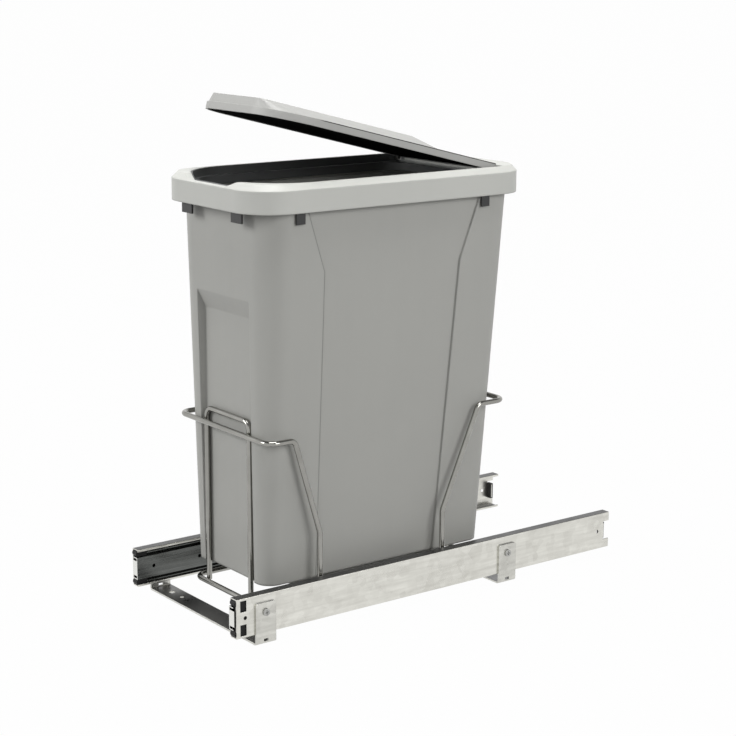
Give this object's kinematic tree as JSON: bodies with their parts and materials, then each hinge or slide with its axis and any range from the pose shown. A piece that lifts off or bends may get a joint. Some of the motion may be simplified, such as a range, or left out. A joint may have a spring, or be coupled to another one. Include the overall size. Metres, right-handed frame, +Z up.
{
  "type": "pull-out waste bin unit",
  "caption": "Tapered waste bin in a wire cradle on ball-bearing drawer slides with floor brackets, with a lift-off collar and a rear-hinged lid.",
  "frame": {"origin": "centre of the four floor screw holes, on the underside of the two brackets", "axes": "+X to the right seen from the front, -Y the way the bin pulls out, +Z up"},
  "size_m": [0.235, 0.5604, 0.5935],
  "materials": {
    "zinc": "bright mottled zinc",
    "rail_zinc": "bright zinc, reflective",
    "cage_steel": "pressed steel",
    "ball_steel": "polished steel",
    "wire_nickel": "bright nickel plate",
    "screw_steel": "zinc plated",
    "black_plastic": "moulded",
    "black_rubber": "soft",
    "bin_grey": "fine satin grain",
    "collar_grey": "fine satin grain",
    "dark_plastic": "dull",
    "pin_black": "moulded"
  },
  "bodies": {
    "base": {"front_bracket": "zinc", "rear_bracket": "zinc", "bracket_screws": "screw_steel", "left_outer_rail": "zinc", "left_rear_bumper": "black_rubber", "right_outer_rail": "zinc", "right_rear_bumper": "black_rubber"},
    "outer_cages": {"left_outer_cage": "cage_steel", "left_outer_balls": "ball_steel", "right_outer_cage": "cage_steel", "right_outer_balls": "ball_steel"},
    "middles": {"left_middle_rail": "rail_zinc", "left_middle_cap": "black_plastic", "right_middle_rail": "rail_zinc", "right_middle_cap": "black_plastic"},
    "inner_cages": {"left_inner_cage": "cage_steel", "left_inner_balls": "ball_steel", "right_inner_cage": "cage_steel", "right_inner_balls": "ball_steel"},
    "carriage": {"left_inner_rail": "rail_zinc", "left_front_mount": "zinc", "left_rear_mount": "zinc", "right_inner_rail": "rail_zinc", "right_front_mount": "zinc", "right_rear_mount": "zinc", "base_loop": "wire_nickel", "front_hoop": "wire_nickel", "rear_hoop": "wire_nickel", "front_guard": "wire_nickel", "carriage_screws": "screw_steel"},
    "bin": {"bin_body": "bin_grey"},
    "collar": {"lid_collar": "collar_grey", "collar_frame": "dark_plastic"},
    "lid": {"lid_shell": "collar_grey", "lid_panel": "dark_plastic", "hinge_pins": "pin_black"}
  },
  "joints": [
    {"name": "carriage_slide", "type": "slide", "parent": "base", "child": "carriage", "axis": [0, -1, 0], "range_m": [0, 0.508]},
    {"name": "middle_slide", "type": "slide", "parent": "base", "child": "middles", "axis": [0, -1, 0], "range_m": [0, 0.255]},
    {"name": "outer_cage_slide", "type": "slide", "parent": "base", "child": "outer_cages", "axis": [0, -1, 0], "range_m": [0, 0.128]},
    {"name": "inner_cage_slide", "type": "slide", "parent": "base", "child": "inner_cages", "axis": [0, -1, 0], "range_m": [0, 0.382]},
    {"name": "bin_lift", "type": "slide", "parent": "carriage", "child": "bin", "axis": [0, 0, 1], "range_m": [0, 0.2]},
    {"name": "collar_lift", "type": "slide", "parent": "bin", "child": "collar", "axis": [0, 0, 1], "range_m": [0, 0.04]},
    {"name": "lid_hinge", "type": "hinge", "parent": "collar", "child": "lid", "pos_m": [0, 0.1637, 0.499], "axis": [-1, 0, 0], "range_deg": [-15, 75]}
  ],
  "couplings": [
    {"joint": "middle_slide", "follows": "carriage_slide", "ratio": 0.5},
    {"joint": "outer_cage_slide", "follows": "carriage_slide", "ratio": 0.25},
    {"joint": "inner_cage_slide", "follows": "carriage_slide", "ratio": 0.75}
  ]
}
